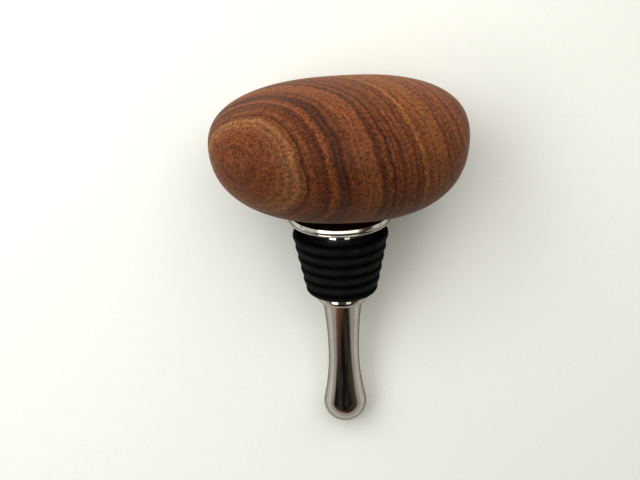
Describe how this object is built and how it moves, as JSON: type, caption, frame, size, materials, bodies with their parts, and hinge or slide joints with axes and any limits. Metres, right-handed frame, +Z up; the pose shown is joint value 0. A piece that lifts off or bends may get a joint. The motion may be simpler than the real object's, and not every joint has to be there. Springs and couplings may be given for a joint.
{
  "type": "stone bottle stopper",
  "caption": "Bottle stopper with a rounded ringed stone for a knob, a chromed flange and waisted shank, and a ribbed black rubber sleeve that plugs a bottle neck.",
  "frame": {"origin": "middle of the bounding box on the surface that the stopper lies on, as it comes to rest", "axes": "+Z up from that surface, +Y along the stopper towards the stone, +X towards the stone's short end"},
  "size_m": [0.0608, 0.0882, 0.0508],
  "materials": {
    "ringed_stone": "satin",
    "stud_steel": "satin",
    "chrome": "polished",
    "black_rubber": "matte"
  },
  "bodies": {
    "root": {"stone_knob": "ringed_stone", "threaded_stud": "stud_steel", "stopper_body": "chrome", "rubber_sleeve": "black_rubber"}
  },
  "joints": []
}
